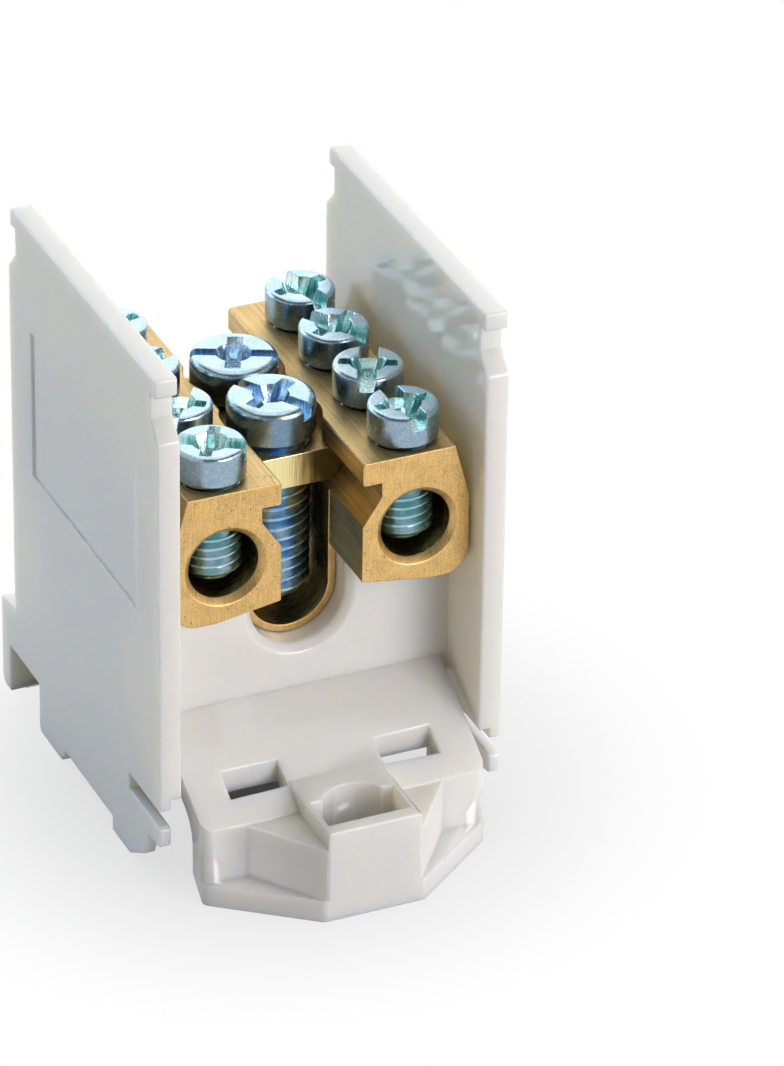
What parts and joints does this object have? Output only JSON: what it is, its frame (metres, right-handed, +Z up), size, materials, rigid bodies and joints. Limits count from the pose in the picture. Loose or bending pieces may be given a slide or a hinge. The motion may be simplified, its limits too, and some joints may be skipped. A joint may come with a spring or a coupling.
{
  "type": "single pole distribution block",
  "caption": "Open-topped white rail-mount distribution block: brass terminal bars with clamp screws on both sides of a saddle clamp for the main conductor, between tall side walls.",
  "frame": {"origin": "middle of the footprint, on the base plane of the foot and rear leg", "axes": "+Z up out of the rail, -Y the front with the sprung foot, X along the rail"},
  "size_m": [0.0466, 0.0688, 0.0732],
  "materials": {
    "white_plastic": "smooth moulded",
    "brass": "extruded and saw-cut",
    "zinc_plated_steel": "bright zinc plated"
  },
  "bodies": {
    "block": {"housing": "white_plastic", "terminal_bar_left": "brass", "terminal_bar_right": "brass", "clamp_plate": "brass", "cable_saddle": "brass"},
    "main_screw_front": {"main_screw_front": "zinc_plated_steel"},
    "main_screw_rear": {"main_screw_rear": "zinc_plated_steel"},
    "left_screw_1": {"left_screw_1": "zinc_plated_steel"},
    "left_screw_2": {"left_screw_2": "zinc_plated_steel"},
    "left_screw_3": {"left_screw_3": "zinc_plated_steel"},
    "left_screw_4": {"left_screw_4": "zinc_plated_steel"},
    "right_screw_1": {"right_screw_1": "zinc_plated_steel"},
    "right_screw_2": {"right_screw_2": "zinc_plated_steel"},
    "right_screw_3": {"right_screw_3": "zinc_plated_steel"},
    "right_screw_4": {"right_screw_4": "zinc_plated_steel"}
  },
  "joints": [
    {"name": "main_screw_front_travel", "type": "slide", "parent": "block", "child": "main_screw_front", "axis": [0, 0, 1], "range_m": [-0.0003, 0.012]},
    {"name": "main_screw_rear_travel", "type": "slide", "parent": "block", "child": "main_screw_rear", "axis": [0, 0, 1], "range_m": [0, 0.012]},
    {"name": "left_screw_1_travel", "type": "slide", "parent": "block", "child": "left_screw_1", "axis": [0, 0, 1], "range_m": [-0.0003, 0.0079]},
    {"name": "left_screw_2_travel", "type": "slide", "parent": "block", "child": "left_screw_2", "axis": [0, 0, 1], "range_m": [-0.0003, 0.0079]},
    {"name": "left_screw_3_travel", "type": "slide", "parent": "block", "child": "left_screw_3", "axis": [0, 0, 1], "range_m": [-0.0003, 0.0079]},
    {"name": "left_screw_4_travel", "type": "slide", "parent": "block", "child": "left_screw_4", "axis": [0, 0, 1], "range_m": [-0.0003, 0.0079]},
    {"name": "right_screw_1_travel", "type": "slide", "parent": "block", "child": "right_screw_1", "axis": [0, 0, 1], "range_m": [-0.0003, 0.0079]},
    {"name": "right_screw_2_travel", "type": "slide", "parent": "block", "child": "right_screw_2", "axis": [0, 0, 1], "range_m": [-0.0003, 0.0079]},
    {"name": "right_screw_3_travel", "type": "slide", "parent": "block", "child": "right_screw_3", "axis": [0, 0, 1], "range_m": [-0.0003, 0.0079]},
    {"name": "right_screw_4_travel", "type": "slide", "parent": "block", "child": "right_screw_4", "axis": [0, 0, 1], "range_m": [-0.0003, 0.0079]}
  ]
}
